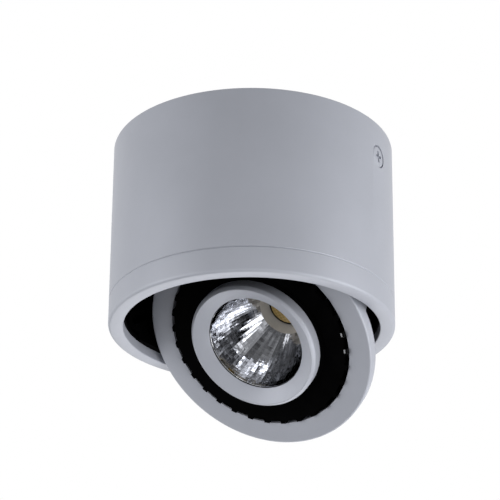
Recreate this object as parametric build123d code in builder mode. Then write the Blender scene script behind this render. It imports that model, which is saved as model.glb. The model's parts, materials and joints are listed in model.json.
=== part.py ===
from build123d import *
from math import cos, radians, sin, sqrt
import os

# Surface mounted ceiling spotlight: a round housing that hangs from a ceiling plate, with a swivelling
# turntable inside its trim ring and a lamp head that tilts out of the opening on curved slots.
# Millimetres, +Z up, origin on the ceiling at the housing's axis. The lamp is drawn tilted out.

# ---------------------------------------------------------------- driving dimensions
# clearances
run_gap = 0.05              # between flat faces that turn or slide on each other
fit_gap = 0.1               # radial, between pieces that locate in each other
hole_gap = 0.05             # radial, of a screw or pin in its own hole
free_gap = 0.35             # radial, of a screw in the hole of the piece that it holds

# housing
body_dia = 120.0            # outside diameter of housing tube and trim ring
wall = 3.0                  # wall of the tube
tube_height = 71.6          # ceiling to the seam above the trim ring
trim_height = 10.9          # seam to the lower rim
rim_width = 6.35            # outside of the trim ring to its mouth
lip_height = 4.1            # depth of the lip that carries the turntable
lap_length = 5.0            # overlap of the trim ring inside the tube
seam_chamfer = 0.35
rim_round = 1.3
mouth_chamfer = 0.5

# ceiling plate
plate_thick = 1.5
plate_clear = 1.6           # gap between plate edge and tube
slot_inset = 11.4           # plate edge to the middle of each ceiling screw slot
slot_length = 12.0
slot_width = 4.5
cable_inset = 11.0          # plate edge to the middle of the cable hole
cable_azimuth = -36.0       # right of the front (-Y)
cable_hole_dia = 14.0
grommet_bore = 8.0
grommet_lip = 1.6           # thickness of the grommet's collar
grommet_brim = 1.8          # how far the collar covers the plate
lug_width = 14.0
lug_depth = 2.0             # radial thickness of each side lug
lug_drop = 22.5             # from ceiling to the lower end of each side lug
side_screw_drop = 15.2      # from ceiling to the side screws
side_screw_azimuth = 62.0   # right of the front (-Y)
side_screw_dia = 4.0
side_head_dia = 9.2
side_head_thick = 1.5
side_cross = 5.0            # across the side screw's cross recess
recess_depth = 1.7

# driver, terminal block and their screws
small_screw_dia = 2.5
small_head_dia = 5.2
small_head_thick = 1.4
driver_length = 74.0
driver_width = 40.0
driver_height = 23.0
driver_wall = 1.8
driver_corner = 3.0
driver_lid = 2.0
lid_lip = 2.5               # rim of the lid inside the driver's walls
lid_chamfer = 0.8
driver_gap = 3.1            # driver to the grommet
driver_tab = 8.0            # reach of each screw tab
driver_tab_width = 12.0
terminal_length = 28.0
terminal_width = 14.0
terminal_height = 14.0
terminal_chamfer = 2.0
terminal_gap = 6.0          # driver to the terminal block
terminal_tab = 6.0
terminal_tab_thick = 2.5
pole_count = 3
pole_pitch = 8.5
pole_bore = 3.4
pole_screw_dia = 3.8
pole_screw_sunk = 1.5
earth_inset = 11.5
earth_azimuth = 137.0
earth_screw_dia = 3.1
earth_head_dia = 6.8
earth_head_thick = 2.0

# turntable and the rings that hold it
turn_thick = 1.6
turn_inset = 1.1            # turntable's edge inside the trim ring
turn_show = 0.65            # how far the turntable reaches past the lip
glide_thick = 0.6
glide_width = 1.7
clip_thick = 1.0
clip_cover = 0.5            # how far the retaining ring covers the glide ring
clip_azimuth = 120.0        # where the retaining ring is open
clip_open_angle = 12.0
clip_eye_angle = 18.0       # between its two eyes
clip_eye_dia = 1.4
stop_angle = 4.4            # width of the end stop and of the dog that meets it
stop_gap = 0.25
beam_azimuth = 36.5         # beam direction, left of the front (-Y)

# tilt mechanism: two pins on each side ride in a curved slot about the centre of the lamp's mouth
tilt = 42.6                 # as drawn, from straight down
tilt_max = 45.0
pivot_drop = 8.0            # tilt axis below the rim
slot_radius = 25.0
slot_land = 2.4             # metal left round the slot
slot_clear = 0.1
slot_play = 0.3             # degrees past each end of the travel
pin_angles = (38.0, 10.0)   # of the two pins, from the head's own axis
pin_dia = 3.0
pin_head_dia = 5.2
pin_head_thick = 1.0
ear_thick = 1.0
ear_gap = 0.5               # swing ring to ear
ear_foot = 24.0             # width of each ear where it stands on the turntable
ear_clear = 0.3             # ear to retaining ring
lug_thick = 3.0
lug_land = 2.3              # metal round the pins in the ring's lugs
lug_foot_share = 0.6        # of the ring's chord behind the lug's face
boss_height = 1.2
boss_land = 2.1
washer_thick = 1.15
spring_washer_thick = 0.4
spring_land = 1.3

# lamp head, measured along its own axis from the pivot plane backwards
swing_gap = 3.25            # swing ring to the mouth of the trim ring
swing_width = 9.8
swing_thick = 5.35
swing_round = 0.9
swing_chamfer = 0.3
fin_count = 32
fin_thick = 2.4
fin_gap = 0.4               # fin tips to the swing ring
fin_waist = 4.0             # straight part behind the tooth
fin_depth = 50.0            # back end of the fins
fin_back_dia = 50.0
fin_bore_dia = 34.0         # behind the cup
notch_depth = 1.3
face_thick = 2.0
face_proud = 1.3            # black face in front of the swing ring
face_boss_width = 1.55      # step that shows round the bezel
face_boss_rise = 0.6
cup_wall = 2.6
sink_ear_numbers = (8, 19, 28)  # the notches between fins that the heat sink's ears pass
sink_ear_clear = 0.25       # ear to the fin on each side
sink_ear_root = 4.0         # how far in from the face's edge each ear starts
sink_ear_thick = 2.5
sink_ear_dia = 6.8
sink_head_thick = 1.8
sink_screw_floor = 1.2      # metal left in front of the screw's hole in the ring
shade_thick = 0.5           # ring that keeps light out of the gap round the teeth
clip_teeth = (1, 2)         # the spring clip stands in for these two teeth
prong_angle = 3.6           # width of each of its prongs
prong_bridge = 1.2          # thickness of the bridge between them
bezel_dia = 56.9
bezel_chamfer = 1.4
bezel_width = 7.25          # outside of the bezel to its mouth
bezel_dish = 3.9            # depth of the conical front
bezel_lip = 0.7             # straight edge at the mouth
spigot_inset = 3.0
spigot_wall = 1.4
spigot_length = 5.0
spigot_clear = 0.4          # behind the spigot's end
flange_thick = 1.0
reflector_back_dia = 22.4
reflector_depth = 29.2
reflector_wall = 1.2
reflector_inset = 0.1       # reflector's edge inside the bezel's mouth
reflector_tiers = ((0.0, 1.0), (0.25, 0.87), (0.5, 0.69), (0.75, 0.42), (1.0, 0.0))
flute_count = 24
holder_thick = 4.2
holder_clear = 0.5          # cup to holder
cup_clear = 0.4             # radius of the cup over that of the reflector's mouth
holder_hole_dia = 3.4
holder_hole_inset = 4.0     # holder's edge to the middle of each hole
phosphor_dia = 15.2
phosphor_thick = 0.8
phosphor_gap = 1.1          # to the holder's edge
board_size = 24.0
board_corner = 1.5
board_thick = 1.2
pad_thick = 0.5

# ---------------------------------------------------------------- worked-out places
body_r = body_dia / 2
inner_r = body_r - wall
lap_r = inner_r + wall / 2
height = tube_height + trim_height
mouth_r = body_r - rim_width
ledge_z = lip_height - height

turn_z = ledge_z + run_gap
glide_z = turn_z + turn_thick + run_gap
clip_z = glide_z + glide_thick + run_gap
clip_top_z = clip_z + clip_thick
groove_r = inner_r + wall / 3
turn_r = inner_r - turn_inset
clip_r = turn_r - clip_cover
turn_bore_r = mouth_r - turn_show
dog_r = inner_r - stop_gap

plate_r = inner_r - plate_clear
lug_face_r = inner_r - run_gap
lug_back_r = lug_face_r - lug_depth

swing_r = mouth_r - swing_gap
swing_bore_r = swing_r - swing_width
ear_x = swing_r + ear_gap
washer_x = ear_x - run_gap - washer_thick
lug_x = washer_x - boss_height
spring_washer_x = ear_x + ear_thick + run_gap
pin_head_x = spring_washer_x + spring_washer_thick
pin_r = pin_dia / 2
ear_half_width = sqrt(clip_r**2 - (ear_x + ear_thick) ** 2) - ear_clear
ear_shoulder_z = clip_top_z + ear_clear
lug_foot = 2 * lug_foot_share * sqrt(swing_r**2 - washer_x**2)

face_z = pivot_drop                          # swing ring's front face, behind the pivot plane
notch_pitch = 360 / fin_count
fin_tip_r = swing_bore_r - fin_gap
face_r = fin_tip_r - notch_depth
face_front_z = face_z - face_proud
face_back_z = face_front_z + face_thick
boss_z = face_front_z - face_boss_rise
swing_back_z = face_z + swing_thick
waist_z = swing_back_z - run_gap
taper_z = waist_z + fin_waist
bezel_r = bezel_dia / 2
face_boss_r = bezel_r + face_boss_width
bezel_mouth_r = bezel_r - bezel_width
spigot_r = bezel_r - spigot_inset
spigot_bore_r = spigot_r - spigot_wall
spigot_end_z = boss_z + spigot_length
flange_z = bezel_dish + bezel_lip
reflector_end_z = flange_z + reflector_depth
reflector_front_r = bezel_mouth_r - reflector_inset
reflector_back_r = reflector_back_dia / 2
holder_z = reflector_end_z
board_z = holder_z + holder_thick
pad_z = board_z + board_thick
floor_z = pad_z + pad_thick
cup_end_z = floor_z + cup_wall
cavity_r = reflector_front_r + cup_clear
holder_r = cavity_r - holder_clear
cup_front_r = spigot_r + cup_wall
cup_back_r = cavity_r + cup_wall
sink_ear_r = (swing_bore_r + swing_r) / 2
sink_ear_z = swing_back_z + shade_thick
sink_ear_back_z = sink_ear_z + sink_ear_thick
sink_ear_root_r = face_r - sink_ear_root
sink_ear_width = radians(notch_pitch) * sink_ear_root_r - fin_thick - 2 * sink_ear_clear

# ---------------------------------------------------------------- planes and axes
toward_beam = Vector(-sin(radians(beam_azimuth)), -cos(radians(beam_azimuth)), 0)
hinge_dir = Vector(cos(radians(beam_azimuth)), -sin(radians(beam_azimuth)), 0)
turn_plane = Plane((0, 0, 0), x_dir=hinge_dir, z_dir=(0, 0, 1))

pivot = Vector(0, 0, -height - pivot_drop)
head_back = Vector(0, 0, cos(radians(tilt))) - toward_beam * sin(radians(tilt))
head_plane = Plane(pivot, x_dir=hinge_dir, z_dir=head_back)
head_axis = Axis(pivot, head_back)
head_side = Plane(pivot, x_dir=hinge_dir, z_dir=-head_plane.y_dir)      # profiles: radius, depth


def hinge_section(x):
    """Plane square to the hinge, at x along it, for pieces of the head."""
    return Plane(pivot + hinge_dir * x, x_dir=head_plane.y_dir, z_dir=hinge_dir)


def ear_section(x):
    """Plane square to the hinge, at x along it, for pieces of the turntable."""
    return Plane(pivot + hinge_dir * x, x_dir=turn_plane.y_dir, z_dir=hinge_dir)


def head_angle_plane(angle, z=0.0):
    """Plane square to the head's axis, its X axis turned to an angle from the hinge."""
    return Plane(
        head_plane.from_local_coords((0, 0, z)),
        x_dir=hinge_dir.rotate(Axis((0, 0, 0), head_back), angle), z_dir=head_back,
    )


def azimuth_plane(azimuth, radius, z):
    """Plane facing outwards on the housing's side, at an azimuth right of the front."""
    out = Vector(sin(radians(azimuth)), -cos(radians(azimuth)), 0)
    return Plane(out * radius + Vector(0, 0, z), x_dir=Vector(0, 0, 1).cross(out), z_dir=out)


def plate_place(azimuth, inset):
    """A place on the ceiling plate, at an azimuth right of the front and a distance from its edge."""
    reach = plate_r - inset
    return (reach * sin(radians(azimuth)), -reach * cos(radians(azimuth)))


def corner(sketch, x, y):
    """The sketch's corner nearest to a point."""
    return sketch.vertices().sort_by_distance((x, y))[0]


def slice_points(reach, angle, middle):
    """A narrow triangle from the centre, to cut a ring down to a short arc."""
    tip = reach / cos(radians(angle / 2))
    low, high = radians(middle - angle / 2), radians(middle + angle / 2)
    return [(0, 0), (tip * cos(low), tip * sin(low)), (tip * cos(high), tip * sin(high))]


pin_places = [(-slot_radius * sin(radians(a)), slot_radius * cos(radians(a))) for a in pin_angles]
side_azimuths = (side_screw_azimuth, side_screw_azimuth + 180)
ceiling_slot_places = [plate_place(azimuth, slot_inset) for azimuth in (0, 180)]
cable_place = plate_place(cable_azimuth, cable_inset)
earth_place = plate_place(earth_azimuth, earth_inset)
driver_shift = cable_place[1] + cable_hole_dia / 2 + grommet_brim + driver_gap + driver_width / 2
terminal_shift = driver_shift + driver_width / 2 + terminal_gap + terminal_width / 2
driver_screw_x = (driver_length + driver_tab) / 2
driver_screw_places = [(driver_screw_x, driver_shift), (-driver_screw_x, driver_shift)]
terminal_screw_x = (terminal_length + terminal_tab) / 2
terminal_screw_places = [(terminal_screw_x, terminal_shift), (-terminal_screw_x, terminal_shift)]

os.makedirs("parts", exist_ok=True)

# ---------------------------------------------------------------- housing tube
with BuildPart() as housing_tube:
    with BuildSketch(Plane.XZ) as tube_profile:
        with BuildLine():
            Polyline(
                (inner_r, 0), (body_r, 0), (body_r, -tube_height), (lap_r + fit_gap, -tube_height),
                (lap_r + fit_gap, lap_length + fit_gap - tube_height),
                (inner_r, lap_length + fit_gap - tube_height), close=True,
            )
        make_face()
        chamfer(corner(tube_profile, body_r, -tube_height), seam_chamfer)
        chamfer(corner(tube_profile, body_r, 0), seam_chamfer)
    revolve(axis=Axis.Z)
    with Locations(*[azimuth_plane(a, body_r, -side_screw_drop) for a in side_azimuths]):
        CounterBoreHole(
            radius=side_screw_dia / 2 + free_gap, counter_bore_radius=side_head_dia / 2 + free_gap,
            counter_bore_depth=recess_depth, depth=wall + fit_gap,
        )
housing_tube.part.label = "housing_tube"
export_step(housing_tube.part, "parts/housing_tube.step")

# ---------------------------------------------------------------- trim ring, with the turntable's ledge
with BuildPart() as trim_ring:
    with BuildSketch(Plane.XZ) as trim_profile:
        with BuildLine():
            Polyline(
                (mouth_r, -height), (body_r, -height), (body_r, -tube_height), (lap_r, -tube_height),
                (lap_r, lap_length - tube_height), (inner_r, lap_length - tube_height),
                (inner_r, clip_top_z + run_gap), (groove_r, clip_top_z + run_gap),
                (groove_r, clip_z), (inner_r, clip_z), (inner_r, ledge_z), (mouth_r, ledge_z), close=True,
            )
        make_face()
        fillet(corner(trim_profile, body_r, -height), rim_round)
        chamfer(corner(trim_profile, mouth_r, -height), mouth_chamfer)
        chamfer(corner(trim_profile, body_r, -tube_height), seam_chamfer)
    revolve(axis=Axis.Z)
    with BuildSketch(turn_plane.offset(ledge_z)):
        Circle(lap_r)
        Circle(turn_r + stop_gap, mode=Mode.SUBTRACT)
        Polygon(*slice_points(body_r, stop_angle, 90), align=None, mode=Mode.INTERSECT)
    extrude(amount=turn_thick + run_gap)
trim_ring.part.label = "trim_ring"
export_step(trim_ring.part, "parts/trim_ring.step")

# ---------------------------------------------------------------- turntable with its two slotted ears
with BuildPart() as turntable:
    with BuildSketch(turn_plane.offset(turn_z)):
        Circle(turn_r)
        Circle(turn_bore_r, mode=Mode.SUBTRACT)
        with Locations((ear_x, 0), (-ear_x, 0)):
            Rectangle(2 * (turn_r - ear_x), ear_foot)
        Circle(turn_r, mode=Mode.INTERSECT)
        Rectangle(2 * ear_x, ear_foot, mode=Mode.SUBTRACT)
    extrude(amount=turn_thick)
    with BuildSketch(turn_plane.offset(turn_z)):
        Circle(dog_r)
        Circle((turn_bore_r + turn_r) / 2, mode=Mode.SUBTRACT)
        Polygon(*slice_points(body_r, stop_angle, -90), align=None, mode=Mode.INTERSECT)
    extrude(amount=turn_thick)
    for start in (ear_x, -ear_x - ear_thick):
        with BuildSketch(ear_section(start)):
            Circle(slot_radius + pin_r + slot_land)
            with Locations((0, ear_shoulder_z - pivot.Z)):
                Rectangle(
                    2 * ear_half_width, 2 * slot_radius,
                    align=(Align.CENTER, Align.MIN), mode=Mode.INTERSECT,
                )
            with Locations((0, turn_z - pivot.Z)):
                Rectangle(ear_foot, ear_shoulder_z - turn_z, align=(Align.CENTER, Align.MIN))
            with BuildLine() as slot_path:
                CenterArc(
                    (0, 0), slot_radius, 90 - tilt_max + pin_angles[1] - slot_play,
                    tilt_max + pin_angles[0] - pin_angles[1] + 2 * slot_play,
                )
            SlotArc(slot_path.edges()[0], pin_dia + 2 * slot_clear, mode=Mode.SUBTRACT)
        extrude(amount=ear_thick)
turntable.part.label = "turntable"
export_step(turntable.part, "parts/turntable.step")

# ---------------------------------------------------------------- glide ring over the turntable
with BuildPart() as glide_ring:
    with BuildSketch(Plane.XY.offset(glide_z)):
        Circle(turn_r)
        Circle(turn_r - glide_width, mode=Mode.SUBTRACT)
    extrude(amount=glide_thick)
glide_ring.part.label = "glide_ring"
export_step(glide_ring.part, "parts/glide_ring.step")

# ---------------------------------------------------------------- retaining ring in the trim ring's groove
with BuildPart() as retaining_ring:
    with BuildSketch(Plane.XY.offset(clip_z)):
        Circle(groove_r - fit_gap)
        Circle(clip_r, mode=Mode.SUBTRACT)
        Polygon(*slice_points(body_r, clip_open_angle, clip_azimuth), align=None, mode=Mode.SUBTRACT)
        for turn in (-clip_eye_angle / 2, clip_eye_angle / 2):
            with PolarLocations((groove_r + clip_r) / 2, 1, start_angle=clip_azimuth + turn):
                Circle(clip_eye_dia / 2, mode=Mode.SUBTRACT)
    extrude(amount=clip_thick)
retaining_ring.part.label = "retaining_ring"
export_step(retaining_ring.part, "parts/retaining_ring.step")

# ---------------------------------------------------------------- ceiling plate
with BuildPart() as ceiling_plate:
    with BuildSketch(Plane.XY.offset(-plate_thick)):
        Circle(plate_r)
        with PolarLocations(0, 2, start_angle=side_screw_azimuth - 90):
            Rectangle(lug_face_r, lug_width, align=(Align.MIN, Align.CENTER))
        Circle(lug_face_r, mode=Mode.INTERSECT)
        with Locations(*ceiling_slot_places):
            SlotOverall(slot_length, slot_width, rotation=90, mode=Mode.SUBTRACT)
        with Locations(cable_place):
            Circle(cable_hole_dia / 2, mode=Mode.SUBTRACT)
        with Locations(*driver_screw_places, *terminal_screw_places):
            Circle(small_screw_dia / 2 + hole_gap, mode=Mode.SUBTRACT)
        with Locations(earth_place):
            Circle(earth_screw_dia / 2 + hole_gap, mode=Mode.SUBTRACT)
    extrude(amount=plate_thick)
ceiling_plate.part.label = "ceiling_plate"
export_step(ceiling_plate.part, "parts/ceiling_plate.step")

# ---------------------------------------------------------------- the plate's two tapped side lugs
with BuildPart() as side_lugs:
    with BuildSketch(Plane.XY.offset(-lug_drop)):
        with PolarLocations(lug_back_r, 2, start_angle=side_screw_azimuth - 90):
            Rectangle(lug_depth, lug_width, align=(Align.MIN, Align.CENTER))
        Circle(lug_face_r, mode=Mode.INTERSECT)
    extrude(amount=lug_drop - plate_thick)
    with Locations(*[azimuth_plane(a, lug_face_r, -side_screw_drop) for a in side_azimuths]):
        Hole(side_screw_dia / 2 + hole_gap, depth=2 * lug_depth)
side_lugs.part.label = "side_lugs"
export_step(side_lugs.part, "parts/side_lugs.step")

# ---------------------------------------------------------------- rubber grommet in the cable hole
with BuildPart() as cable_grommet:
    with BuildSketch(Plane.XY):
        with Locations(cable_place):
            Circle(cable_hole_dia / 2 - hole_gap)
    extrude(amount=-plate_thick)
    with BuildSketch(Plane.XY.offset(-plate_thick)):
        with Locations(cable_place):
            Circle(cable_hole_dia / 2 + grommet_brim)
    extrude(amount=-grommet_lip)
    with Locations((*cable_place, 0)):
        Hole(grommet_bore / 2)
cable_grommet.part.label = "cable_grommet"
export_step(cable_grommet.part, "parts/cable_grommet.step")


def pan_screw(plane, shank_dia, shank_length, head_dia, head_thick, cross=0.0):
    """A screw standing on a plane: the head in front, the shank behind, with a cross recess if asked."""
    with BuildPart() as screw:
        with BuildSketch(plane):
            Circle(head_dia / 2)
        extrude(amount=head_thick)
        with BuildSketch(plane):
            Circle(shank_dia / 2)
        extrude(amount=-shank_length)
        if cross:
            with BuildSketch(plane.offset(head_thick)):
                Rectangle(cross, cross / 4)
                Rectangle(cross / 4, cross)
            extrude(amount=-head_thick * 0.7, mode=Mode.SUBTRACT)
    return screw.part


# ---------------------------------------------------------------- side screws
with BuildPart() as side_screws:
    for azimuth in side_azimuths:
        head_seat = azimuth_plane(azimuth, body_r - recess_depth, -side_screw_drop)
        shank_length = wall - recess_depth + lug_depth
        add(pan_screw(head_seat, side_screw_dia, shank_length, side_head_dia, side_head_thick, side_cross))
side_screws.part.label = "side_screws"
export_step(side_screws.part, "parts/side_screws.step")

# ---------------------------------------------------------------- driver: base, lid and its two screws
driver_top_z = -plate_thick
driver_floor_z = driver_top_z - driver_height
lid_z = driver_floor_z + driver_lid
with BuildPart() as driver_base:
    with BuildSketch(Plane.XY.offset(lid_z)):
        with Locations((0, driver_shift)):
            RectangleRounded(driver_length, driver_width, driver_corner)
    extrude(amount=driver_top_z - lid_z)
    with BuildSketch(Plane.XY.offset(lid_z)):
        with Locations((0, driver_shift)):
            Rectangle(driver_length - 2 * driver_wall, driver_width - 2 * driver_wall)
    extrude(amount=driver_top_z - driver_wall - lid_z, mode=Mode.SUBTRACT)
    with BuildSketch(Plane.XY.offset(driver_top_z)):
        with Locations((0, driver_shift)):
            SlotOverall(driver_length + 2 * driver_tab, driver_tab_width)
            Rectangle(driver_length - 2 * driver_wall, driver_width, mode=Mode.SUBTRACT)
        with Locations(*driver_screw_places):
            Circle(small_screw_dia / 2 + free_gap, mode=Mode.SUBTRACT)
    extrude(amount=-driver_wall)
driver_base.part.label = "driver_base"
export_step(driver_base.part, "parts/driver_base.step")

with BuildPart() as driver_cover:
    with BuildSketch(Plane.XY.offset(driver_floor_z)):
        with Locations((0, driver_shift)):
            RectangleRounded(driver_length, driver_width, driver_corner)
    extrude(amount=driver_lid)
    chamfer(driver_cover.faces().sort_by(Axis.Z)[0].edges(), lid_chamfer)
    with BuildSketch(Plane.XY.offset(lid_z)):
        with Locations((0, driver_shift)):
            Rectangle(
                driver_length - 2 * driver_wall - 2 * fit_gap, driver_width - 2 * driver_wall - 2 * fit_gap,
            )
            Rectangle(
                driver_length - 4 * driver_wall, driver_width - 4 * driver_wall, mode=Mode.SUBTRACT,
            )
    extrude(amount=lid_lip)
driver_cover.part.label = "driver_cover"
export_step(driver_cover.part, "parts/driver_cover.step")

with BuildPart() as driver_screws:
    for place in driver_screw_places:
        head_seat = Plane((*place, driver_top_z - driver_wall), z_dir=(0, 0, -1))
        add(pan_screw(
            head_seat, small_screw_dia, driver_wall + plate_thick, small_head_dia, small_head_thick,
        ))
driver_screws.part.label = "driver_screws"
export_step(driver_screws.part, "parts/driver_screws.step")

# ---------------------------------------------------------------- terminal block and its screws
terminal_low_z = -plate_thick - terminal_height
well_depth = (terminal_height - pole_bore) / 2
pole_places = [((i - (pole_count - 1) / 2) * pole_pitch, terminal_shift) for i in range(pole_count)]
with BuildPart() as terminal_block:
    with BuildSketch(Plane.XY.offset(terminal_low_z)):
        with Locations((0, terminal_shift)):
            Rectangle(terminal_length, terminal_width)
    extrude(amount=terminal_height)
    chamfer(terminal_block.faces().sort_by(Axis.Z)[0].edges().filter_by(Axis.X), terminal_chamfer)
    with BuildSketch(Plane.XY.offset(-plate_thick)):
        with Locations((0, terminal_shift)):
            SlotOverall(terminal_length + 2 * terminal_tab, terminal_tab)
        with Locations(*terminal_screw_places):
            Circle(small_screw_dia / 2 + free_gap, mode=Mode.SUBTRACT)
    extrude(amount=-terminal_tab_thick)
    with BuildSketch(Plane.XZ.offset(-terminal_shift)):
        with Locations(*[(x, terminal_low_z + terminal_height / 2) for x, y in pole_places]):
            Circle(pole_bore / 2)
    extrude(amount=terminal_width / 2, both=True, mode=Mode.SUBTRACT)
    with BuildSketch(Plane.XY.offset(terminal_low_z)):
        with Locations(*pole_places):
            Circle(pole_screw_dia / 2 + fit_gap)
    extrude(amount=well_depth, mode=Mode.SUBTRACT)
terminal_block.part.label = "terminal_block"
export_step(terminal_block.part, "parts/terminal_block.step")

with BuildPart() as terminal_screws:
    with BuildSketch(Plane.XY.offset(terminal_low_z + pole_screw_sunk)):
        with Locations(*pole_places):
            Circle(pole_screw_dia / 2)
    extrude(amount=well_depth - pole_screw_sunk)
    for place in terminal_screw_places:
        head_seat = Plane((*place, -plate_thick - terminal_tab_thick), z_dir=(0, 0, -1))
        add(pan_screw(
            head_seat, small_screw_dia, plate_thick + terminal_tab_thick, small_head_dia, small_head_thick,
        ))
terminal_screws.part.label = "terminal_screws"
export_step(terminal_screws.part, "parts/terminal_screws.step")

with BuildPart() as earth_screw:
    head_seat = Plane((*earth_place, -plate_thick), z_dir=(0, 0, -1))
    add(pan_screw(head_seat, earth_screw_dia, plate_thick, earth_head_dia, earth_head_thick))
earth_screw.part.label = "earth_screw"
export_step(earth_screw.part, "parts/earth_screw.step")

# ---------------------------------------------------------------- swing ring with its two pin lugs
with BuildPart() as swing_ring:
    with BuildSketch(head_side) as swing_profile:
        with BuildLine():
            Polyline(
                (swing_bore_r, face_z), (swing_r, face_z), (swing_r, swing_back_z),
                (swing_bore_r, swing_back_z), close=True,
            )
        make_face()
        fillet(corner(swing_profile, swing_r, face_z), swing_round)
        chamfer(corner(swing_profile, swing_bore_r, face_z), swing_chamfer)
    revolve(axis=head_axis)
    for start in (lug_x - lug_thick, -lug_x):
        with BuildSketch(hinge_section(start)):
            with Locations(*pin_places):
                Circle(pin_r + lug_land)
            with Locations((0, swing_back_z)):
                Rectangle(lug_foot, swing_thick / 2, align=(Align.CENTER, Align.MAX))
            make_hull()
        extrude(amount=lug_thick)
    for start in (lug_x, -washer_x):
        with BuildSketch(hinge_section(start)):
            with Locations(*pin_places):
                Circle(pin_r + boss_land)
        extrude(amount=boss_height)
    with BuildSketch(hinge_section(-washer_x)):
        with Locations(*pin_places):
            Circle(pin_r + hole_gap)
    extrude(amount=2 * washer_x, mode=Mode.SUBTRACT)
    for number in sink_ear_numbers:
        with BuildSketch(head_angle_plane((number + 0.5) * notch_pitch, swing_back_z)):
            with Locations((sink_ear_r, 0)):
                Circle(small_screw_dia / 2 + hole_gap)
        extrude(amount=sink_screw_floor - swing_thick, mode=Mode.SUBTRACT)
swing_ring.part.label = "swing_ring"
export_step(swing_ring.part, "parts/swing_ring.step")


def pin_washers(start, thick, land):
    """Oblong washers, one on each side, that take both pins of their side."""
    with BuildPart() as washers:
        for plane_x in (start, -start - thick):
            with BuildSketch(hinge_section(plane_x)):
                with Locations(*pin_places):
                    Circle(pin_r + land)
                make_hull()
                with Locations(*pin_places):
                    Circle(pin_r + hole_gap, mode=Mode.SUBTRACT)
            extrude(amount=thick)
    return washers.part


def pin_discs(start, thick, radius):
    """Round lengths of the four pins, from start outwards along the hinge."""
    with BuildPart() as discs:
        for plane_x in (start, -start - thick):
            with BuildSketch(hinge_section(plane_x)):
                with Locations(*pin_places):
                    Circle(radius)
            extrude(amount=thick)
    return discs.part


# ---------------------------------------------------------------- friction washers, between boss and ear
with BuildPart() as friction_washers:
    add(pin_washers(washer_x, washer_thick, boss_land))
friction_washers.part.label = "friction_washers"
export_step(friction_washers.part, "parts/friction_washers.step")

# ---------------------------------------------------------------- spring washers, outside the ears
with BuildPart() as spring_washers:
    add(pin_washers(spring_washer_x, spring_washer_thick, spring_land))
spring_washers.part.label = "spring_washers"
export_step(spring_washers.part, "parts/spring_washers.step")

# ---------------------------------------------------------------- pivot pins, screwed into the lugs
with BuildPart() as pivot_pins:
    add(pin_discs(lug_x - lug_thick, pin_head_x - lug_x + lug_thick, pin_r))
    add(pin_discs(pin_head_x, pin_head_thick, pin_head_dia / 2))
pivot_pins.part.label = "pivot_pins"
export_step(pivot_pins.part, "parts/pivot_pins.step")

# ---------------------------------------------------------------- heat sink: cup, black face and three ears
with BuildPart() as heat_sink:
    with BuildSketch(head_side):
        with BuildLine():
            Polyline(
                (0, boss_z), (face_boss_r, boss_z), (face_boss_r, face_front_z),
                (face_r, face_front_z), (face_r, face_back_z), (cup_front_r, face_back_z),
                (cup_back_r, cup_end_z), (0, cup_end_z), close=True,
            )
        make_face()
        with BuildLine():
            Polyline(
                (0, boss_z), (spigot_r + fit_gap, boss_z), (spigot_r + fit_gap, spigot_end_z + spigot_clear),
                (cavity_r, spigot_end_z + spigot_clear), (cavity_r, floor_z), (0, floor_z), close=True,
            )
        make_face(mode=Mode.SUBTRACT)
    revolve(axis=head_axis)
    for number in sink_ear_numbers:
        angle = (number + 0.5) * notch_pitch
        with BuildSketch(head_angle_plane(angle, face_back_z)):
            with Locations((sink_ear_root_r, 0)):
                Rectangle(sink_ear_root, sink_ear_width, align=(Align.MIN, Align.CENTER))
        extrude(amount=sink_ear_back_z - face_back_z)
        with BuildSketch(head_angle_plane(angle, sink_ear_z)):
            with Locations((sink_ear_root_r, 0)):
                Rectangle(sink_ear_r - sink_ear_root_r, sink_ear_width, align=(Align.MIN, Align.CENTER))
            with Locations((sink_ear_r, 0)):
                Circle(sink_ear_dia / 2)
                Circle(small_screw_dia / 2 + free_gap, mode=Mode.SUBTRACT)
        extrude(amount=sink_ear_thick)
heat_sink.part.label = "heat_sink"
export_step(heat_sink.part, "parts/heat_sink.step")

# ---------------------------------------------------------------- cooling fins, whose front tips are the teeth
with BuildPart() as cooling_fins:
    for number in range(fin_count):
        radial = head_angle_plane(notch_pitch * number).x_dir
        tooth_r = face_r if number in clip_teeth else fin_tip_r
        with BuildSketch(Plane(pivot, x_dir=radial, z_dir=radial.cross(head_back))):
            Polygon(
                (cup_front_r, face_back_z), (face_r, face_back_z), (face_r, face_front_z),
                (tooth_r, face_front_z), (tooth_r, waist_z), (face_r, waist_z), (face_r, taper_z),
                (fin_back_dia / 2, fin_depth), (fin_bore_dia / 2, fin_depth),
                (fin_bore_dia / 2, cup_end_z), (cup_back_r, cup_end_z), align=None,
            )
        extrude(amount=fin_thick / 2, both=True)
cooling_fins.part.label = "cooling_fins"
export_step(cooling_fins.part, "parts/cooling_fins.step")

# ---------------------------------------------------------------- shade ring, held behind the teeth by the ears
with BuildPart() as shade_ring:
    with BuildSketch(head_plane.offset(swing_back_z)):
        Circle(sink_ear_r - small_screw_dia / 2 - free_gap)
        Circle(face_r + run_gap, mode=Mode.SUBTRACT)
        for number in sink_ear_numbers:
            with PolarLocations(face_r, 1, start_angle=(number + 0.5) * notch_pitch):
                Rectangle(2 * fit_gap, sink_ear_width + 2 * fit_gap, mode=Mode.SUBTRACT)
    extrude(amount=shade_thick)
shade_ring.part.label = "shade_ring"
export_step(shade_ring.part, "parts/shade_ring.step")

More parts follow.
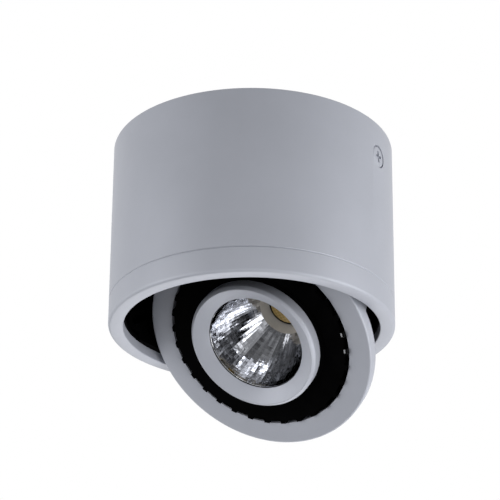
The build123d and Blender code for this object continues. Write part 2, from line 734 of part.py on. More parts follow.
# ---------------------------------------------------------------- screws that hold the heat sink on the ring
with BuildPart() as sink_screws:
    for number in sink_ear_numbers:
        ear = head_angle_plane((number + 0.5) * notch_pitch, sink_ear_back_z)
        head_seat = Plane(ear.from_local_coords((sink_ear_r, 0, 0)), x_dir=ear.x_dir, z_dir=head_back)
        shank_length = sink_ear_back_z - face_z - sink_screw_floor
        add(pan_screw(head_seat, small_screw_dia, shank_length, small_head_dia, sink_head_thick))
sink_screws.part.label = "sink_screws"
export_step(sink_screws.part, "parts/sink_screws.step")

# ---------------------------------------------------------------- spring clip whose two ends show in the notches
clip_angle = (clip_teeth[0] + clip_teeth[1]) / 2 * notch_pitch
clip_in_r = face_r + run_gap
clip_out_r = swing_bore_r - run_gap
with BuildPart() as spring_clip:
    for side in (-1, 1):
        with BuildSketch(head_plane.offset(face_front_z)):
            Circle(clip_out_r)
            Circle(clip_in_r, mode=Mode.SUBTRACT)
            Polygon(
                *slice_points(body_r, prong_angle, clip_angle + side * notch_pitch / 2),
                align=None, mode=Mode.INTERSECT,
            )
        extrude(amount=waist_z - face_front_z)
    with BuildSketch(head_plane.offset(waist_z)):
        Circle(clip_out_r)
        Circle(clip_in_r, mode=Mode.SUBTRACT)
        Polygon(
            *slice_points(body_r, notch_pitch + prong_angle, clip_angle), align=None, mode=Mode.INTERSECT,
        )
    extrude(amount=-prong_bridge)
spring_clip.part.label = "spring_clip"
export_step(spring_clip.part, "parts/spring_clip.step")

# ---------------------------------------------------------------- bezel ring, dished in front
with BuildPart() as bezel_ring:
    with BuildSketch(head_side):
        with BuildLine():
            Polyline(
                (bezel_r - bezel_chamfer, 0), (bezel_r, bezel_chamfer), (bezel_r, boss_z), (spigot_r, boss_z),
                (spigot_r, spigot_end_z), (spigot_bore_r, spigot_end_z), (spigot_bore_r, flange_z),
                (bezel_mouth_r, flange_z), (bezel_mouth_r, bezel_dish), close=True,
            )
        make_face()
    revolve(axis=head_axis)
bezel_ring.part.label = "bezel_ring"
export_step(bezel_ring.part, "parts/bezel_ring.step")


# ---------------------------------------------------------------- faceted reflector
def reflector_r(share):
    """Inner radius of the reflector between its hole round the lamp and its mouth."""
    return reflector_back_r + (reflector_front_r - reflector_back_r) * share


with BuildPart() as reflector:
    with BuildSketch(head_side):
        with BuildLine():
            Polyline(
                (0, flange_z), (spigot_bore_r - fit_gap, flange_z),
                (spigot_bore_r - fit_gap, flange_z + flange_thick),
                (reflector_front_r + reflector_wall, flange_z + flange_thick),
                *[(reflector_r(share) + reflector_wall, flange_z + reflector_depth * depth)
                  for depth, share in reflector_tiers[1:]],
                (0, reflector_end_z), close=True,
            )
        make_face()
    revolve(axis=head_axis)
    for depth, share in reflector_tiers:
        with BuildSketch(head_plane.offset(flange_z + reflector_depth * depth)):
            RegularPolygon(reflector_r(share), flute_count)
    loft(ruled=True, mode=Mode.SUBTRACT)
reflector.part.label = "reflector"
export_step(reflector.part, "parts/reflector.step")

# ---------------------------------------------------------------- lamp: holder, board, phosphor and pad
with BuildPart() as led_holder:
    with BuildSketch(head_side):
        with BuildLine():
            Polyline(
                (reflector_back_r, holder_z), (holder_r, holder_z), (holder_r, board_z),
                (phosphor_dia / 2 + phosphor_gap, board_z), close=True,
            )
        make_face()
    revolve(axis=head_axis)
    with BuildSketch(head_plane.offset(holder_z)):
        with PolarLocations(holder_r - holder_hole_inset, 2):
            Circle(holder_hole_dia / 2)
    extrude(amount=holder_thick, mode=Mode.SUBTRACT)
led_holder.part.label = "led_holder"
export_step(led_holder.part, "parts/led_holder.step")

with BuildPart() as led_board:
    with BuildSketch(head_plane.offset(board_z)):
        RectangleRounded(board_size, board_size, board_corner)
    extrude(amount=board_thick)
led_board.part.label = "led_board"
export_step(led_board.part, "parts/led_board.step")

with BuildPart() as led_phosphor:
    with BuildSketch(head_plane.offset(board_z)):
        Circle(phosphor_dia / 2)
    extrude(amount=-phosphor_thick)
led_phosphor.part.label = "led_phosphor"
export_step(led_phosphor.part, "parts/led_phosphor.step")

with BuildPart() as thermal_pad:
    with BuildSketch(head_plane.offset(pad_z)):
        Rectangle(board_size, board_size)
    extrude(amount=pad_thick)
thermal_pad.part.label = "thermal_pad"
export_step(thermal_pad.part, "parts/thermal_pad.step")
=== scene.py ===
"""Looks of a ceiling spotlight: painted housing, toothed lamp head and faceted reflector."""

import json
import random
from math import atan2, cos, floor, hypot, pi, radians, sin, tau

import bmesh
import bpy
from bpy.props import FloatProperty, FloatVectorProperty, IntProperty, PointerProperty
from mathutils import Matrix, Vector


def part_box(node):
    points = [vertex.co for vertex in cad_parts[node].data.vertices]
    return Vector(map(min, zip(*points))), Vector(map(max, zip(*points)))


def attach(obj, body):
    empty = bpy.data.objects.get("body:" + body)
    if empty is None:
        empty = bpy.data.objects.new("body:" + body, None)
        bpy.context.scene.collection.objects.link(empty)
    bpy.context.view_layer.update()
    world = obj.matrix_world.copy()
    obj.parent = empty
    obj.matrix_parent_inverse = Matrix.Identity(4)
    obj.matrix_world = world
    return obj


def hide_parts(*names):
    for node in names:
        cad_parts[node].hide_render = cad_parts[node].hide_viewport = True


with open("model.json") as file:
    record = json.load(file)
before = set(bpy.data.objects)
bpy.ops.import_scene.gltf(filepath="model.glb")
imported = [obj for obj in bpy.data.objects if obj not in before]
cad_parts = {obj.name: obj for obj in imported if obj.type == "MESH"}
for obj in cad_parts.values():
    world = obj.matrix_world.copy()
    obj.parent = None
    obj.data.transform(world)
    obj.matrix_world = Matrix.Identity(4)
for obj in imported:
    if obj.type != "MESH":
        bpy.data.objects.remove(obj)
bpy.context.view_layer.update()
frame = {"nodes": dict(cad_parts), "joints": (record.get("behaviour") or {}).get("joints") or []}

bl_info = {
    "name": "Ceiling spotlight looks",
    "version": (1, 0, 0),
    "blender": (4, 5, 0),
    "location": "3D View > Sidebar > Spotlight",
    "description": "Builds the painted housing, the lamp head and the studio of a spotlight",
    "category": "Object",
}

# ------------------------------------------------------------------ places read from the frame
SLIDING_GAP = 5e-5
JOINTS = {joint["name"]: joint for joint in frame["joints"]}
PIVOT = Vector(JOINTS["tilt"]["pos_m"])
HINGE = -Vector(JOINTS["tilt"]["axis"]).normalized()
TILT = radians(-JOINTS["tilt"]["range_deg"][0])
HEAD_BACK = Matrix.Rotation(-TILT, 3, HINGE) @ Vector((0, 0, 1))
HEAD_SIDE = HEAD_BACK.cross(HINGE)
# The head's own frame: its origin on the tilt axis, X along the hinge and Z back from its face.
HEAD = Matrix.Translation(PIVOT) @ Matrix((HINGE, HEAD_SIDE, HEAD_BACK)).transposed().to_4x4()
SEAM_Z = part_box("housing_tube")[0].z
RIM_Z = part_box("trim_ring")[0].z
LEDGE_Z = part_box("turntable")[0].z - SLIDING_GAP

# ------------------------------------------------------------------ fixed numbers
# How far off a point may lie, in metres, and still count as on an edge or a wall.
TINY = 2e-5
ROUND_STEPS = 256
# The pins stand on one circle about the tilt axis, at two angles off the head's Z axis.
PIN_STEPS = 24
SLOT_RADIUS = 0.025
PIN_ANGLES = (radians(38), radians(10))
# Side screws: height as a share of the recess, rounding and bore, then the cross's bars.
SCREW_RISE = 0.88
SCREW_ROUND = 0.4
SCREW_BORE = 0.02
CROSS_LENGTH, CROSS_WIDTH = 1.1, 0.27
CROSS_HEIGHT = 0.9
CROSS_TURN = 0.18
# Bezel: roundings of its front edge, of its shoulder and of its mouth.
BEZEL_FRONT_ROUND, BEZEL_SHOULDER_ROUND, BEZEL_MOUTH_ROUND = 0.00025, 0.0005, 0.0002
# Reflector: the seed of its uneven strips, its curve, its wall, and how far inside the bezel its
# flange ends. Between the bowl's two ends, which stay true, the strips' lean grows over the
# first eighth of the way back, and the facets are hammered over the first part of it.
REFLECTOR_SEED = 247
BOWL_POWER = 1.75
BOWL_WALL = 0.001
FLANGE_INSET = 0.0045
BOWL_ENDS = (0.001, 0.999)
LEAN_GROWTH = 8
HAMMERED_SHARE = 0.55
# How much of a facet's painted reflection tone its whole strip shares.
STRIP_SHARE = 0.6
# Painted shade: the spring clip is black, with steel left near each notch between teeth where its
# glints show, up to a radius and within an angle.
NOTCHES = 32
CLIP_GLINT_RADIUS = 0.0397
CLIP_GLINT_TURN = radians(1.25)
# A tint runs from its first to its second shade between these two values of its pattern.
TINT_SPAN = (0.3, 0.7)
# Stage: the camera's place and sensor in metres and millimetres, the floor, and each lamp's
# name, place and width.
CAMERA_PLACE = Vector((0.008059, -0.901844, -0.463031))
SENSOR_WIDTH = 36
FLOOR_RADIUS = 1.6
LAMPS = (
    ("right", (0.95, -0.35, -0.10), 0.7),
    ("right_low", (0.8, -0.2, -0.8), 0.6),
    ("left", (-0.95, -0.45, -0.15), 0.7),
    ("left_back", (-0.95, 0.35, -0.15), 0.7),
    ("front", (0.1, -1.3, -0.3), 0.8),
    ("back_low", (0.1, 0.9, -0.9), 0.9),
    ("top", (0.0, 0.1, 1.1), 0.8),
)


# ------------------------------------------------------------------ sizes and colours to change
def length(name, description, default):
    """A length setting in metres."""
    return FloatProperty(
        name=name, description=description, default=default, min=0, unit="LENGTH", precision=5,
    )


def colour(name, description, default):
    """A colour setting."""
    return FloatVectorProperty(
        name=name, description=description, default=default, size=3, min=0, max=1,
        subtype="COLOR",
    )


def power(name, description, default):
    """A lamp's power setting in watts."""
    return FloatProperty(name=name, description=description, default=default, min=0, unit="POWER")


def angle(name, description, degrees):
    """An angle setting, with its default in degrees."""
    return FloatProperty(
        name=name, description=description, default=radians(degrees), subtype="ANGLE",
    )


def number(name, description, default):
    """A setting without a unit."""
    return FloatProperty(name=name, description=description, default=default, min=0)


def count(name, description, default, least):
    """A whole number setting."""
    return IntProperty(name=name, description=description, default=default, min=least)


class SpotlightHousing(bpy.types.PropertyGroup):
    """Sizes of the housing, its trim ring and its side screws."""

    radius: length("Radius", "Outside radius of housing and trim ring", 0.060)
    wall: length("Wall", "Wall of the housing tube", 0.003)
    mouth_radius: length("Mouth radius", "Radius of the trim ring's opening", 0.05365)
    groove_radius: length("Inner radius", "Inside radius of the trim ring above its lip", 0.057)
    seam_chamfer: length("Seam chamfer", "Chamfer on both sides of the seam", 0.00035)
    rim_round: length("Rim round", "Radius of the rim's outer edge", 0.0013)
    mouth_chamfer: length("Mouth chamfer", "Chamfer of the rim's inner edge", 0.0005)
    screw_head_radius: length("Screw head radius", "Radius of each side screw's head", 0.0046)
    screw_gap: length("Screw gap", "Gap round each side screw's head", 0.00035)
    screw_depth: length("Recess depth", "Depth of the recess for each side screw", 0.0017)


class SpotlightHead(bpy.types.PropertyGroup):
    """Sizes of the lamp head, measured back from the plane of its tilt axis."""

    ring_radius: length("Ring radius", "Outside radius of the swing ring", 0.0504)
    ring_width: length("Ring width", "Width of the swing ring's face", 0.0098)
    ring_depth: length("Ring depth", "Depth of the ring's face behind the tilt axis", 0.008)
    ring_thickness: length("Ring thickness", "Thickness of the swing ring", 0.00535)
    ring_round: length("Ring round", "Radius of the ring's outer front edge", 0.0009)
    pin_radius: length("Pin radius", "Radius of the pins in the ring's lugs", 0.0015)
    lug_inner: length("Lug place", "Inner face of each lug, along the hinge", 0.0455)
    lug_thickness: length("Lug thickness", "Thickness of each lug", 0.003)
    lug_land: length("Lug land", "Metal round the pins in each lug", 0.0023)
    lug_foot: length("Lug foot", "Width of each lug where it meets the ring", 0.010)
    boss_land: length("Boss land", "Metal round the pins in each boss", 0.0021)
    boss_height: length("Boss height", "Height of each boss", 0.0012)
    bezel_radius: length("Bezel radius", "Outside radius of the bezel", 0.02845)
    bezel_chamfer: length("Bezel chamfer", "Width of the bezel's outer chamfer", 0.0014)
    bezel_mouth: length("Bezel mouth", "Radius of the bezel's inner edge", 0.0212)
    bezel_dish: length("Bezel dish", "Depth of the bezel's conical face", 0.0039)
    bezel_back: length("Bezel back", "Depth of the black boss behind the tilt axis", 0.0061)
    reflector_front: length("Reflector front", "Radius of the reflector's mouth", 0.0210)
    reflector_lip: length("Reflector lip", "Width and depth of the lip round its mouth", 0.00006)
    reflector_back: length("Reflector back", "Radius of the hole round the LED", 0.0112)
    reflector_start: length("Reflector start", "Depth of the reflector's mouth", 0.0046)
    reflector_length: length("Reflector length", "Length of the reflector", 0.0292)
    strips: count("Strips", "Flat strips round the reflector", 40, 12)
    columns: count("Columns", "Facets across each strip", 2, 1)
    rows: count("Rows", "Rows of facets along the reflector", 20, 4)
    strip_lean: number("Strip lean", "Uneven radius of the strips' edges", 0.008)
    hammering: number("Hammering", "Uneven radius of the facets", 0.0016)
    dam_inner: length("Dam inside", "Inside radius of the dam round the phosphor", 0.0076)
    dam_outer: length("Dam outside", "Outside radius of the dam round the phosphor", 0.0086)
    dam_height: length("Dam height", "Height of the dam round the phosphor", 0.0006)
    board_depth: length("Board depth", "Depth of the LED board behind the tilt axis", 0.0380)


class SpotlightFinishes(bpy.types.PropertyGroup):
    """Colours of the lamp's finishes."""

    silver: colour("Silver paint", "Matt silver-grey paint", (0.404, 0.421, 0.475))
    # The black is the heat sink's own anodising, and it also paints shade on the housing's inside,
    # the bezel's inner wall, the shade ring and most of the spring clip.
    black: colour("Black", "Matt black of the heat sink and the inside", (0.0008, 0.0008, 0.0009))
    mirror: colour("Reflector", "Metallised reflector", (0.76, 0.77, 0.80))
    holder: colour("LED holder", "Beige plastic of the LED holder", (0.56, 0.53, 0.48))
    phosphor: colour("Phosphor", "Amber yellow of the LED's phosphor", (0.58, 0.40, 0.13))
    steel: colour("Steel", "Bare and plated steel", (0.43, 0.44, 0.46))
    board: colour("LED board", "White solder mask of the LED board", (0.8, 0.8, 0.78))
    # The dam's near black is a painted shadow line round the phosphor.
    dam: colour("Dam", "Brown-black silicone round the phosphor", (0.012, 0.009, 0.006))
    pad: colour("Thermal pad", "Grey pad behind the LED board", (0.2, 0.21, 0.23))
    nylon: colour("Nylon", "Natural nylon of the terminal block", (0.72, 0.70, 0.62))
    case: colour("Driver case", "Dark grey plastic of the driver", (0.02, 0.02, 0.021))
    rubber: colour("Rubber", "Black rubber of the cable grommet", (0.012, 0.012, 0.012))
    washer: colour("Washers", "Black plastic of the friction washers", (0.01, 0.01, 0.01))
    floor: colour("Floor", "Pale floor far below the lamp", (0.8, 0.8, 0.8))


class SpotlightStage(bpy.types.PropertyGroup):
    """Camera and lights of the studio."""

    lens: FloatProperty(
        name="Lens", description="Focal length on a 36 mm sensor", default=168.45, unit="CAMERA",
    )
    camera_yaw: angle("Yaw", "Camera's turn to the right of +Y", -0.572)
    camera_pitch: angle("Pitch", "Camera's tilt above level", 24.838)
    camera_roll: angle("Roll", "Camera's roll", 0.487)
    right_power: power("Right power", "Lamp on the right", 5.1)
    right_low_power: power("Low right power", "Lamp low on the right", 7.0)
    left_power: power("Left power", "Lamp on the left", 6.3)
    left_back_power: power("Left back power", "Lamp behind on the left", 1.5)
    front_power: power("Front power", "Lamp in front", 2.4)
    back_low_power: power("Low back power", "Lamp low behind", 6.1)
    top_power: power("Top power", "Lamp overhead", 1.6)
    ambient: number("Ambient", "Strength of the room's soft light", 0.1)
    floor_drop: length("Floor drop", "Height of the lamp's ceiling above the floor", 1.8)


SETTINGS = {
    "spotlight_housing": SpotlightHousing,
    "spotlight_head": SpotlightHead,
    "spotlight_finishes": SpotlightFinishes,
    "spotlight_stage": SpotlightStage,
}


# ------------------------------------------------------------------ shaping
def lathe(outline, steps=ROUND_STEPS):
    """A closed outline of (radius, height) corners, spun once round the Z axis."""
    form = bmesh.new()
    corners = [form.verts.new((radius, 0, height)) for radius, height in outline]
    edges = [form.edges.new(ends) for ends in zip(corners, corners[1:] + corners[:1])]
    bmesh.ops.spin(
        form, geom=corners + edges, cent=(0, 0, 0), axis=(0, 0, 1), angle=tau, steps=steps,
        use_merge=True, use_duplicate=False,
    )
    return form


def round_edge(form, radius, height, width, segments=5):
    """Rounds the edge round the axis at one radius and height; one segment makes a chamfer."""
    def on_edge(vertex):
        return (abs(hypot(vertex.co.x, vertex.co.y) - radius) < TINY
                and abs(vertex.co.z - height) < TINY)

    bmesh.ops.bevel(
        form, geom=[e for e in form.edges if all(on_edge(v) for v in e.verts)], offset=width,
        affect="EDGES", segments=segments, profile=0.5, material=-1,
    )


def pin_circles(radius, along):
    """Points round each pin place, at a distance along the hinge in the head's own frame."""
    circles = []
    for angle_off in PIN_ANGLES:
        centre = Vector((along, -SLOT_RADIUS * sin(angle_off), SLOT_RADIUS * cos(angle_off)))
        circles.append([
            centre + radius * Vector((0, cos(tau * step / PIN_STEPS), sin(tau * step / PIN_STEPS)))
            for step in range(PIN_STEPS)
        ])
    return circles


def add_hull(form, points, reach):
    """Adds the hull of flat points and of the same points moved by reach."""
    corners = [form.verts.new(point + shift) for shift in (Vector(), reach) for point in points]
    hull = bmesh.ops.convex_hull(form, input=corners, use_existing_faces=False)
    inside = [part for part in hull["geom_interior"] if isinstance(part, bmesh.types.BMVert)]
    bmesh.ops.delete(form, geom=inside, context="VERTS")


def free_to_mesh(form, name):
    """Turns a finished form into a mesh."""
    mesh = bpy.data.meshes.new(name)
    form.to_mesh(mesh)
    form.free()
    return mesh


def add_object(name, data):
    """Puts a new object with its mesh, light or camera in the scene."""
    thing = bpy.data.objects.new(name, data)
    bpy.context.scene.collection.objects.link(thing)
    return thing


def make_piece(form, name, body, materials, place=None, stands_for=(), sharp_angle=32.0):
    """Puts a finished form in the scene, on its body, with its materials and smooth shading."""
    if place is not None:
        bmesh.ops.transform(form, matrix=place, verts=form.verts)
    bmesh.ops.remove_doubles(form, verts=form.verts, dist=1e-7)
    bmesh.ops.recalc_face_normals(form, faces=form.faces)
    mesh = free_to_mesh(form, name)
    mesh.shade_smooth()
    mesh.set_sharp_from_angle(angle=radians(sharp_angle))
    for material in materials:
        mesh.materials.append(material)
    thing = add_object(name, mesh)
    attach(thing, body)
    if stands_for:
        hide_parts(*stands_for)
    return thing


def cut(thing, form):
    """Cuts a form out of a piece, and leaves the piece as plain mesh."""
    bmesh.ops.recalc_face_normals(form, faces=form.faces)
    cutter_mesh = free_to_mesh(form, "cutter")
    cutter = add_object("cutter", cutter_mesh)
    modifier = thing.modifiers.new("cut", "BOOLEAN")
    modifier.operation = "DIFFERENCE"
    modifier.solver = "EXACT"
    modifier.object = cutter
    graph = bpy.context.evaluated_depsgraph_get()
    cut_mesh = bpy.data.meshes.new_from_object(thing.evaluated_get(graph))
    thing.modifiers.clear()
    whole = thing.data
    thing.data = cut_mesh
    cut_mesh.name = whole.name + "_cut"
    bpy.data.meshes.remove(whole)
    bpy.data.objects.remove(cutter)
    bpy.data.meshes.remove(cutter_mesh)


def paint_faces(thing, index, chosen):
    """Gives a material slot to the faces that the test chooses by their middle."""
    for face in thing.data.polygons:
        if chosen(face.center):
            face.material_index = index


def facing_out(azimuth, radius, height):
    """A place on the housing's side whose Z axis points outwards."""
    up = Vector((0, 0, 1))
    out = Vector((cos(azimuth), sin(azimuth), 0))
    turn = Matrix((up.cross(out), up, out)).transposed().to_4x4()
    return Matrix.Translation(out * radius + Vector((0, 0, height))) @ turn


# ------------------------------------------------------------------ finishes
class Finish:
    """A Principled material with a pattern in the piece's own coordinates."""

    def __init__(self, name, base, roughness, metallic=0.0, specular=0.5, place=None):
        self.material = bpy.data.materials.new(name)
        self.material.use_nodes = True
        self.nodes = self.material.node_tree.nodes
        self.links = self.material.node_tree.links
        self.shader = self.nodes["Principled BSDF"]
        self.shader.inputs["Base Color"].default_value = (*base, 1)
        self.shader.inputs["Roughness"].default_value = roughness
        self.shader.inputs["Metallic"].default_value = metallic
        self.shader.inputs["Specular IOR Level"].default_value = specular
        self.where = self.nodes.new("ShaderNodeTexCoord").outputs["Object"]
        if place is not None:
            turn = self.nodes.new("ShaderNodeMapping")
            turn.vector_type = "TEXTURE"
            turn.inputs["Location"].default_value = place.to_translation()
            turn.inputs["Rotation"].default_value = place.to_euler()
            self.links.new(self.where, turn.inputs["Vector"])
            self.where = turn.outputs["Vector"]

    def noise(self, scale, detail=2.0, roughness=0.5, stretch=None):
        """Noise with features about 1/scale metres across."""
        texture = self.nodes.new("ShaderNodeTexNoise")
        texture.inputs["Scale"].default_value = scale
        texture.inputs["Detail"].default_value = detail
        texture.inputs["Roughness"].default_value = roughness
        vector = self.where
        if stretch:
            mapping = self.nodes.new("ShaderNodeMapping")
            mapping.inputs["Scale"].default_value = stretch
            self.links.new(vector, mapping.inputs["Vector"])
            vector = mapping.outputs["Vector"]
        self.links.new(vector, texture.inputs["Vector"])
        return texture.outputs["Fac"]

    def cells(self, scale, randomness=1.0):
        """Voronoi cells about 1/scale metres across."""
        texture = self.nodes.new("ShaderNodeTexVoronoi")
        texture.inputs["Scale"].default_value = scale
        texture.inputs["Randomness"].default_value = randomness
        self.links.new(self.where, texture.inputs["Vector"])
        return texture

    def axes(self):
        """The place's X, Y and Z, one socket each."""
        parts = self.nodes.new("ShaderNodeSeparateXYZ")
        self.links.new(self.where, parts.inputs["Vector"])
        return parts.outputs["X"], parts.outputs["Y"], parts.outputs["Z"]

    def cell_tone(self, across, along=None):
        """A random tone for each whole number across, or for each pair of them."""
        cell = self.nodes.new("ShaderNodeCombineXYZ")
        self.links.new(across, cell.inputs["X"])
        if along is not None:
            self.links.new(along, cell.inputs["Y"])
        tone = self.nodes.new("ShaderNodeTexWhiteNoise")
        tone.noise_dimensions = "2D"
        self.links.new(cell.outputs["Vector"], tone.inputs["Vector"])
        return tone.outputs["Value"]

    def maths(self, operation, first, second=None, third=None):
        """A Math node on sockets or plain numbers."""
        node = self.nodes.new("ShaderNodeMath")
        node.operation = operation
        for socket, value in zip(node.inputs, (first, second, third)):
            if isinstance(value, (int, float)):
                socket.default_value = value
            elif value is not None:
                self.links.new(value, socket)
        return node.outputs["Value"]

    def ramp(self, factor, stops):
        """A straight colour ramp between two stops, each of them (position, colour)."""
        node = self.nodes.new("ShaderNodeValToRGB")
        for element, (position, value) in zip(node.color_ramp.elements, stops):
            element.position = position
            element.color = (*value, 1)
        self.links.new(factor, node.inputs["Fac"])
        return node.outputs["Color"]

    def tint(self, factor, low, high):
        """Varies the base colour between two shades of it."""
        base = self.shader.inputs["Base Color"].default_value[:3]
        shades = [tuple(min(1.0, c * share) for c in base) for share in (low, high)]
        colours = self.ramp(factor, list(zip(TINT_SPAN, shades)))
        self.links.new(colours, self.shader.inputs["Base Color"])

    def roughen(self, factor, low, high):
        """Varies the roughness between two values."""
        span = self.nodes.new("ShaderNodeMapRange")
        span.inputs["To Min"].default_value = low
        span.inputs["To Max"].default_value = high
        self.links.new(factor, span.inputs["Value"])
        self.links.new(span.outputs["Result"], self.shader.inputs["Roughness"])

    def bump(self, height, depth, strength=1.0):
        """Raises the surface by depth metres where height is one."""
        node = self.nodes.new("ShaderNodeBump")
        node.inputs["Strength"].default_value = strength
        node.inputs["Distance"].default_value = depth
        self.links.new(height, node.inputs["Height"])
        self.links.new(node.outputs["Normal"], self.shader.inputs["Normal"])


MADE = {}


def finish(maker):
    """The material that a maker function builds, built once."""
    if maker.__name__ not in MADE:
        MADE[maker.__name__] = maker(bpy.context.scene.spotlight_finishes).material
    return MADE[maker.__name__]


def silver_paint(colours):
    """Matt silver powder paint: fine grain, faint cloudiness and a slight sparkle."""
    paint = Finish("silver_paint", colours.silver, 0.48, metallic=0.15, specular=0.4)
    paint.tint(paint.noise(38, detail=4, roughness=0.6), 0.975, 1.025)
    paint.roughen(paint.noise(900, detail=2), 0.42, 0.56)
    paint.bump(paint.noise(2600, detail=3, roughness=0.65), 1.2e-5, 0.6)
    return paint


def inner_black(colours):
    """Painted shade: matt black over the inside of the housing, which lies in shadow."""
    black = Finish("inner_black", colours.black, 0.85, specular=0.006)
    black.tint(black.noise(160, detail=3), 0.7, 1.4)
    black.bump(black.noise(1800, detail=2), 2e-5, 0.5)
    return black


def anodised_black(colours):
    """Black anodised die casting with a fine grain; the same black paints shade on the shade ring
    and the bezel's inner wall.
    """
    black = Finish("anodised_black", colours.black, 0.62, specular=0.008, place=HEAD)
    black.tint(black.noise(220, detail=4), 0.6, 1.5)
    black.roughen(black.noise(700, detail=2), 0.5, 0.72)
    black.bump(black.noise(1500, detail=3), 2.5e-5, 0.6)
    return black


def black_steel(colours):
    """Black painted sheet steel of the turntable."""
    black = Finish("black_steel", colours.black, 0.55, specular=0.008)
    black.tint(black.noise(120, detail=3), 0.7, 1.4)
    black.bump(black.noise(900, detail=2), 1.5e-5, 0.5)
    return black


def plated_steel(colours):
    """Zinc plated sheet with the faint mottling of its crystals."""
    steel = Finish("plated_steel", colours.steel, 0.36, metallic=0.85)
    facets = steel.nodes.new("ShaderNodeTexWhiteNoise")
    steel.links.new(steel.cells(260).outputs["Color"], facets.inputs["Vector"])
    steel.tint(facets.outputs["Value"], 0.93, 1.05)
    steel.roughen(steel.noise(180, detail=4), 0.28, 0.46)
    steel.bump(steel.noise(700, detail=2), 1e-5, 0.4)
    return steel


def spring_steel(colours):
    """Bare spring steel with fine rolling lines."""
    steel = Finish("spring_steel", colours.steel, 0.4, metallic=0.9, place=HEAD)
    steel.tint(steel.noise(900, detail=3, stretch=(1, 1, 14)), 0.85, 1.15)
    steel.roughen(steel.noise(500, detail=2), 0.22, 0.4)
    steel.bump(steel.noise(1400, detail=2), 6e-6, 0.4)
    return steel


def clip_steel(colours):
    """Spring steel under black painted shade, with steel left in a small patch on the end of each
    prong where its glint shows.
    """
    clip = Finish("clip_steel", colours.black, 0.4, metallic=0.9, place=HEAD)
    across, along, _ = clip.axes()
    turn = clip.maths("ARCTAN2", along, across)
    wave = clip.maths("COSINE", clip.maths("MULTIPLY", turn, NOTCHES))
    square = clip.maths("MULTIPLY_ADD", across, across, clip.maths("MULTIPLY", along, along))
    grain = clip.maths("MULTIPLY", clip.noise(900), 2e-4)
    reach = clip.maths("ADD", clip.maths("SQRT", square), grain)
    near = clip.maths("LESS_THAN", reach, CLIP_GLINT_RADIUS)
    at_notch = clip.maths("GREATER_THAN", wave, cos(NOTCHES * CLIP_GLINT_TURN))
    glint_patch = clip.maths("MULTIPLY", near, at_notch)
    # Painted shade: black everywhere except the small patches where the clip's glints show.
    shades = clip.ramp(glint_patch, [(0.0, colours.black), (1.0, colours.steel)])
    clip.links.new(shades, clip.shader.inputs["Base Color"])
    clip.roughen(clip.noise(500, detail=2), 0.3, 0.5)
    return clip


def mirror_facets(colours):
    """Metallised plastic: each strip and each facet takes its own random tone, a painted reflection
    of dark and bright surroundings, with a fine ripple.
    """
    head = bpy.context.scene.spotlight_head
    mirror = Finish("mirror_facets", colours.mirror, 0.08, metallic=1.0, place=HEAD)
    across, along, back = mirror.axes()
    turn = mirror.maths("ARCTAN2", along, across)
    strip = mirror.maths("FLOOR", mirror.maths("MULTIPLY", turn, head.strips / tau))
    depth = mirror.maths("SUBTRACT", back, head.reflector_start)
    rows_per_metre = head.rows / head.reflector_length
    row = mirror.maths("FLOOR", mirror.maths("MULTIPLY", depth, rows_per_metre))
    strip_reflection = mirror.maths("MULTIPLY", mirror.cell_tone(strip), STRIP_SHARE)
    facet_reflection = mirror.maths("MULTIPLY", mirror.cell_tone(strip, row), 1 - STRIP_SHARE)
    shade = mirror.maths("ADD", strip_reflection, facet_reflection)
    # Painted reflection: the tone darkens and lightens the facets as if they mirrored dark and
    # bright surroundings.
    mirror.tint(shade, 0.5, 1.15)
    mirror.roughen(mirror.noise(600, detail=3), 0.03, 0.08)
    mirror.bump(mirror.noise(900, detail=3), 2e-5, 0.4)
    return mirror


def holder_plastic(colours):
    """Satin beige plastic with a faint moulded grain."""
    plastic = Finish("holder_plastic", colours.holder, 0.5, specular=0.4, place=HEAD)
    plastic.tint(plastic.noise(300, detail=3), 0.92, 1.06)
    plastic.roughen(plastic.noise(500), 0.42, 0.6)
    plastic.bump(plastic.noise(1500, detail=2), 1e-5, 0.4)
    return plastic


def phosphor_gel(colours):
    """Silicone over phosphor, with the rows of chips faintly darker."""
    gel = Finish("phosphor_gel", colours.phosphor, 0.25, specular=0.5, place=HEAD)
    gel.tint(gel.cells(750, randomness=0.0).outputs["Distance"], 0.75, 1.15)
    gel.bump(gel.noise(400, detail=2), 2e-5, 0.4)
    return gel


def solder_mask(colours):
    """White board with a slight gloss."""
    board = Finish("solder_mask", colours.board, 0.4, place=HEAD)
    board.tint(board.noise(400, detail=2), 0.95, 1.03)
    board.bump(board.noise(1200), 1e-5, 0.3)
    return board


def dark_silicone(colours):
    """Brown-black silicone of the dam round the phosphor, a painted shadow: the dark ring stands in
    for the shadow line round the phosphor.
    """
    dam = Finish("dark_silicone", colours.dam, 0.6, specular=0.2, place=HEAD)
    dam.tint(dam.noise(700, detail=3), 0.8, 1.3)
    dam.bump(dam.noise(1800, detail=2), 2e-5, 0.5)
    return dam


def thermal_gum(colours):
    """Grey thermal pad."""
    gum = Finish("thermal_gum", colours.pad, 0.8, specular=0.3, place=HEAD)
    gum.tint(gum.noise(500, detail=3), 0.85, 1.15)
    gum.bump(gum.noise(1000, detail=2), 3e-5, 0.6)
    return gum


def white_nylon(colours):
    """Natural nylon, slightly yellow."""
    nylon = Finish("white_nylon", colours.nylon, 0.5, specular=0.4)
    nylon.tint(nylon.noise(120, detail=3), 0.95, 1.03)
    nylon.roughen(nylon.noise(400), 0.42, 0.6)
    nylon.bump(nylon.noise(900, detail=2), 1.5e-5, 0.4)
    return nylon


def driver_plastic(colours):
    """Dark grey moulded case of the driver."""
    plastic = Finish("driver_plastic", colours.case, 0.6, specular=0.3)
    plastic.tint(plastic.noise(200, detail=3), 0.85, 1.2)
    plastic.bump(plastic.noise(1600, detail=3, roughness=0.7), 3e-5, 0.7)
    return plastic


